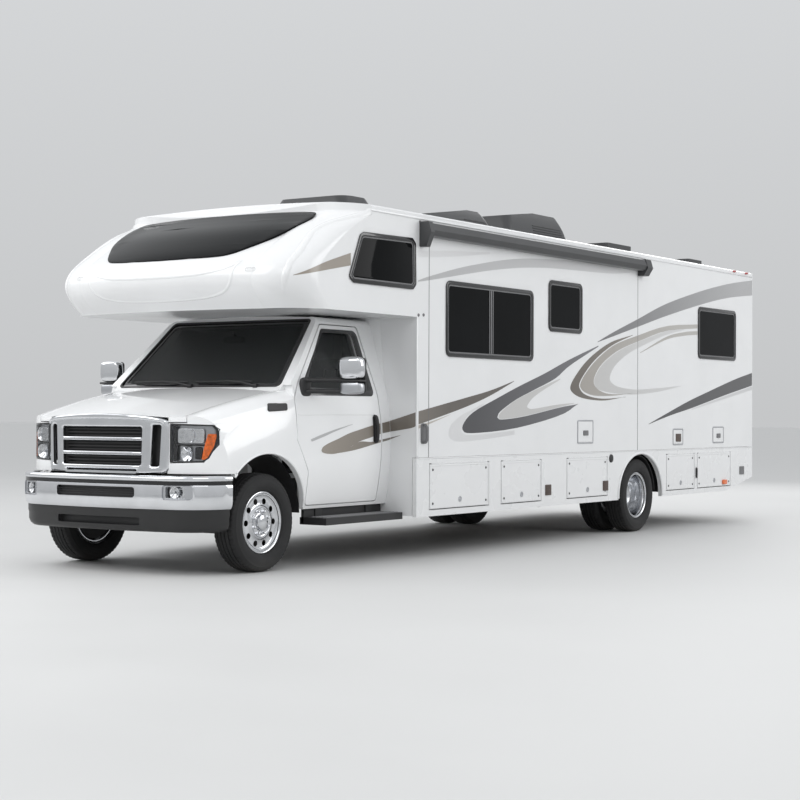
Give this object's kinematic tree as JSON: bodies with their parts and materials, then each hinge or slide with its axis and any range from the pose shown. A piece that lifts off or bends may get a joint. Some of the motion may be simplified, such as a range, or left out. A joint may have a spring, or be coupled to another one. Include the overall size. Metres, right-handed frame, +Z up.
{
  "type": "motorhome",
  "caption": "Cab-over motorhome on a cutaway van chassis, with hollow coach and cab, opening doors, hood and storage bays, steered front wheels and twin rear wheels.",
  "frame": {"origin": "on the ground, under the middle of the whole vehicle", "axes": "+Z up, the nose points along -Y, +X is the vehicle's left side"},
  "size_m": [2.804, 9.8498, 3.3299],
  "materials": {
    "white_gelcoat": "smooth gelcoat panel",
    "white_paint": "gloss white paint",
    "chassis_black": "satin black chassis paint",
    "cast_block": "cast, unpainted",
    "black_plastic": "textured black plastic",
    "exhaust_steel": "dull steel",
    "chrome": "bright chrome",
    "polished_rim": "polished wheel trim",
    "tyre": "black rubber",
    "clear_glass": "clear glass",
    "tinted_glass": "dark tinted glass",
    "lamp_clear": "clear lamp lens",
    "lamp_red": "red lamp lens",
    "seat_fabric": "grey woven cloth",
    "floor_board": "sealed board",
    "bay_lining": "moulded liner",
    "roof_plastic": "moulded shroud"
  },
  "bodies": {
    "coach": {"chassis_frame": "chassis_black", "front_axle": "chassis_black", "rear_axle": "chassis_black", "springs": "chassis_black", "engine": "cast_block", "underbody_tanks": "black_plastic", "exhaust": "exhaust_steel", "cab_body": "white_paint", "windscreen": "clear_glass", "front_wings": "white_paint", "headlamps": "lamp_clear", "grille": "chrome", "front_bumper": "chrome", "bumper_valance": "black_plastic", "wheel_liners": "black_plastic", "dashboard": "black_plastic", "steering_wheel": "black_plastic", "cab_seats": "seat_fabric", "cab_steps": "black_plastic", "front_cap": "white_gelcoat", "side_wall_left": "white_gelcoat", "side_wall_right": "white_gelcoat", "end_walls": "white_gelcoat", "coach_floor": "floor_board", "roof": "white_gelcoat", "skirts": "white_gelcoat", "storage_boxes": "bay_lining", "window_frames": "black_plastic", "window_glass": "tinted_glass", "awning": "black_plastic", "roof_units": "roof_plastic", "rear_bumper": "black_plastic", "tail_lamps": "lamp_red"},
    "hood": {"hood": "white_paint"},
    "cab_door_left": {"cab_door_left": "white_paint", "cab_glass_left": "clear_glass", "mirror_left": "black_plastic"},
    "cab_door_right": {"cab_door_right": "white_paint", "cab_glass_right": "clear_glass", "mirror_right": "black_plastic"},
    "entry_door": {"entry_door": "white_gelcoat", "entry_glass": "tinted_glass"},
    "knuckle_left": {"knuckle_left": "chassis_black"},
    "knuckle_right": {"knuckle_right": "chassis_black"},
    "wheel_front_left": {"tyre_front_left": "tyre", "rim_front_left": "polished_rim"},
    "wheel_front_right": {"tyre_front_right": "tyre", "rim_front_right": "polished_rim"},
    "wheels_rear_left": {"tyres_rear_left": "tyre", "rims_rear_left": "polished_rim"},
    "wheels_rear_right": {"tyres_rear_right": "tyre", "rims_rear_right": "polished_rim"},
    "bay_door_left_1": {"bay_door_left_1": "white_gelcoat"},
    "bay_door_left_2": {"bay_door_left_2": "white_gelcoat"},
    "bay_door_left_3": {"bay_door_left_3": "white_gelcoat"},
    "bay_door_left_4": {"bay_door_left_4": "white_gelcoat"},
    "bay_door_left_5": {"bay_door_left_5": "white_gelcoat"},
    "bay_door_right_1": {"bay_door_right_1": "white_gelcoat"}
  },
  "joints": [
    {"name": "steer_left", "type": "hinge", "parent": "coach", "child": "knuckle_left", "pos_m": [0.745, -4.075, 0.38], "axis": [0, 0, 1], "range_deg": [-32, 32]},
    {"name": "steer_right", "type": "hinge", "parent": "coach", "child": "knuckle_right", "pos_m": [-0.745, -4.075, 0.38], "axis": [0, 0, 1], "range_deg": [-32, 32]},
    {"name": "spin_front_left", "type": "hinge", "parent": "knuckle_left", "child": "wheel_front_left", "pos_m": [0.87, -4.075, 0.38], "axis": [1, 0, 0], "continuous": true},
    {"name": "spin_front_right", "type": "hinge", "parent": "knuckle_right", "child": "wheel_front_right", "pos_m": [-0.87, -4.075, 0.38], "axis": [1, 0, 0], "continuous": true},
    {"name": "spin_rear_left", "type": "hinge", "parent": "coach", "child": "wheels_rear_left", "pos_m": [0.985, 1.845, 0.38], "axis": [1, 0, 0], "continuous": true},
    {"name": "spin_rear_right", "type": "hinge", "parent": "coach", "child": "wheels_rear_right", "pos_m": [-0.985, 1.845, 0.38], "axis": [1, 0, 0], "continuous": true},
    {"name": "hood_hinge", "type": "hinge", "parent": "coach", "child": "hood", "pos_m": [0, -3.791, 1.404], "axis": [-1, 0, 0], "range_deg": [0, 45]},
    {"name": "cab_door_left_hinge", "type": "hinge", "parent": "coach", "child": "cab_door_left", "pos_m": [1.006, -3.704, 1], "axis": [0, 0, -1], "range_deg": [0, 70]},
    {"name": "cab_door_right_hinge", "type": "hinge", "parent": "coach", "child": "cab_door_right", "pos_m": [-1.006, -3.704, 1], "axis": [0, 0, 1], "range_deg": [0, 70]},
    {"name": "entry_door_hinge", "type": "hinge", "parent": "coach", "child": "entry_door", "pos_m": [-1.27, -0.179, 1.7], "axis": [0, 0, 1], "range_deg": [0, 100]},
    {"name": "bay_door_left_1_hinge", "type": "hinge", "parent": "coach", "child": "bay_door_left_1", "pos_m": [1.27, -1.7165, 0.794], "axis": [0, -1, 0], "range_deg": [0, 100]},
    {"name": "bay_door_left_2_hinge", "type": "hinge", "parent": "coach", "child": "bay_door_left_2", "pos_m": [1.27, -0.6425, 0.794], "axis": [0, -1, 0], "range_deg": [0, 100]},
    {"name": "bay_door_left_3_hinge", "type": "hinge", "parent": "coach", "child": "bay_door_left_3", "pos_m": [1.27, 0.662, 0.794], "axis": [0, -1, 0], "range_deg": [0, 100]},
    {"name": "bay_door_left_4_hinge", "type": "hinge", "parent": "coach", "child": "bay_door_left_4", "pos_m": [1.27, 2.835, 0.794], "axis": [0, -1, 0], "range_deg": [0, 100]},
    {"name": "bay_door_left_5_hinge", "type": "hinge", "parent": "coach", "child": "bay_door_left_5", "pos_m": [1.27, 3.7355, 0.794], "axis": [0, -1, 0], "range_deg": [0, 100]},
    {"name": "bay_door_right_1_hinge", "type": "hinge", "parent": "coach", "child": "bay_door_right_1", "pos_m": [-1.27, -1.7165, 0.794], "axis": [0, 1, 0], "range_deg": [0, 100]}
  ],
  "couplings": [
    {"joint": "steer_right", "follows": "steer_left", "ratio": 1}
  ]
}
